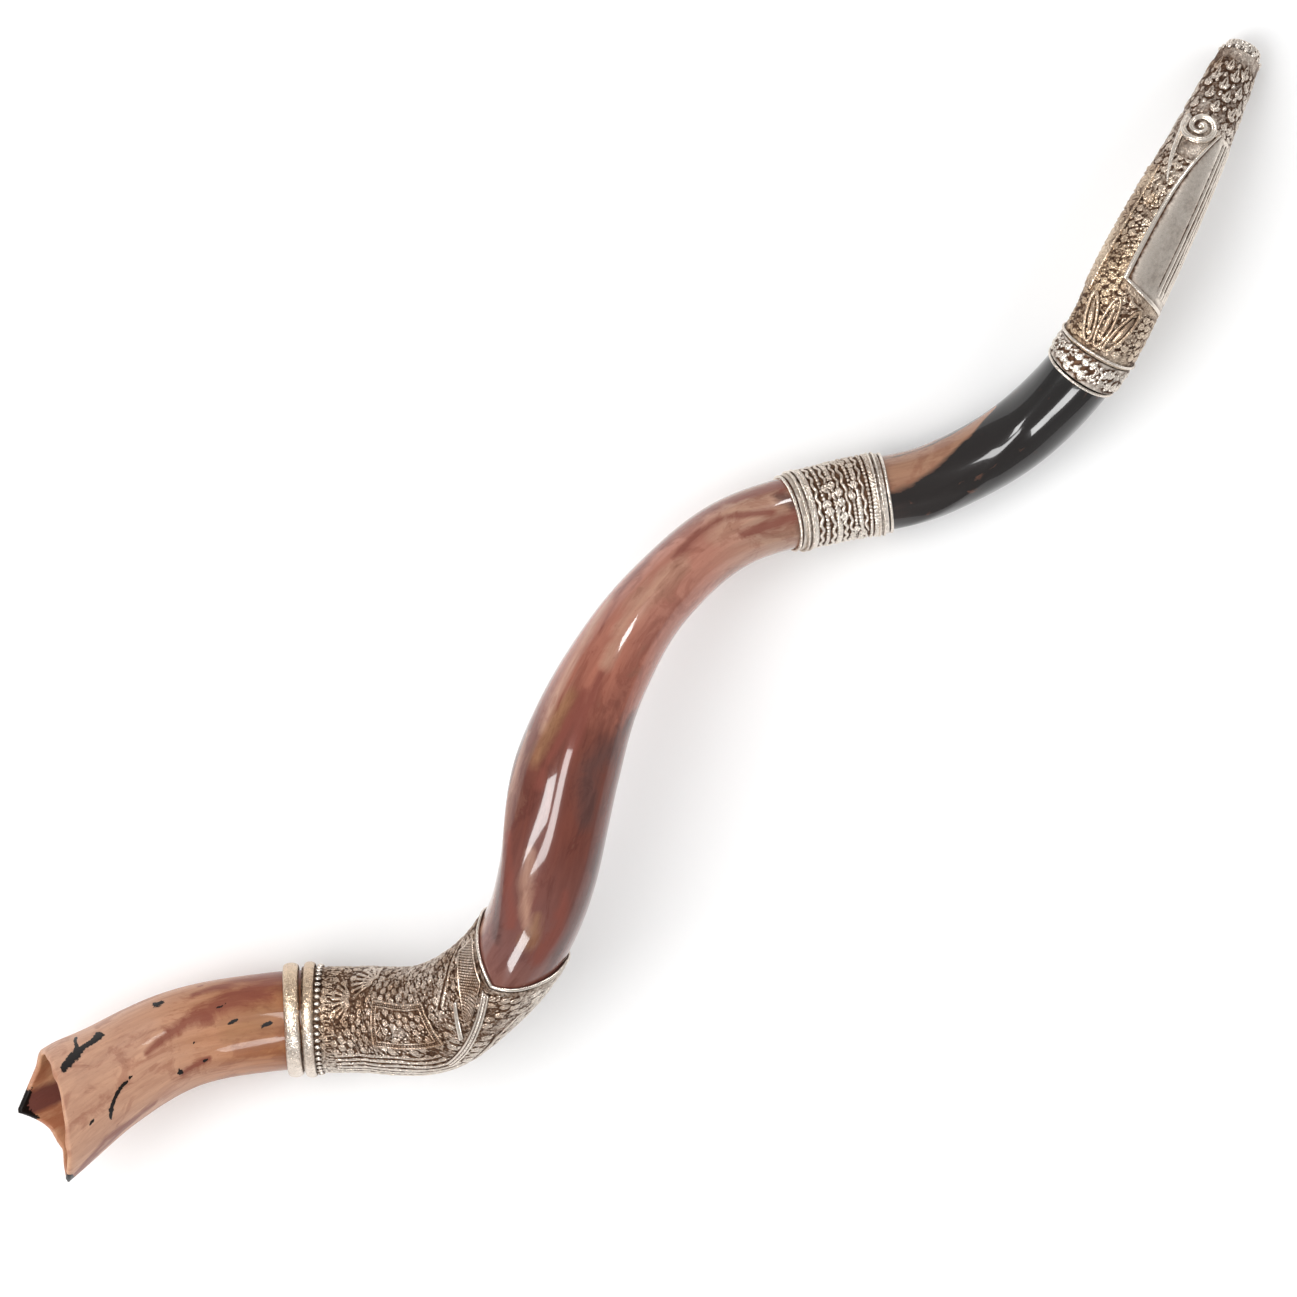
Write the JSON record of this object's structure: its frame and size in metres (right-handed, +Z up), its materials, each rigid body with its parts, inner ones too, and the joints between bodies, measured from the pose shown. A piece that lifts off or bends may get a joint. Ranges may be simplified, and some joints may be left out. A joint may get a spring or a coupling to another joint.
{
  "type": "shofar",
  "caption": "Long twisted horn trumpet of polished kudu horn with a keel, an open cut bell and three chased silver mounts",
  "frame": {"origin": "on the table under the middle of the shofar as it lies at rest", "axes": "+X from the bell to the blowing end, +Z up from the table, +Y to the side that the blowing end bends to"},
  "size_m": [0.9205, 0.1668, 0.1388],
  "materials": {
    "horn": "gloss",
    "silver": "satin",
    "gilt": "satin",
    "pitch": "matte"
  },
  "bodies": {
    "root": {"horn": "horn", "mouth_bedding": "pitch", "middle_bedding": "pitch", "elbow_bedding": "pitch", "mouth_sleeve": "silver", "mouth_rim": "silver", "mouth_beads": "silver", "mouth_volute": "silver", "mouth_panel": "silver", "mouth_vine": "gilt", "mouth_rosette": "gilt", "mouth_palmette": "gilt", "mouth_collar": "silver", "mouth_collar_wires": "silver", "middle_band": "silver", "middle_rope_wires": "silver", "middle_edge_wires": "silver", "elbow_sleeve": "silver", "elbow_panel": "silver", "elbow_gore": "silver", "elbow_edge_wire": "silver", "bell_ring": "silver", "bell_ring_beads": "silver", "keel_strap": "silver", "seam_strap": "silver"}
  },
  "joints": []
}
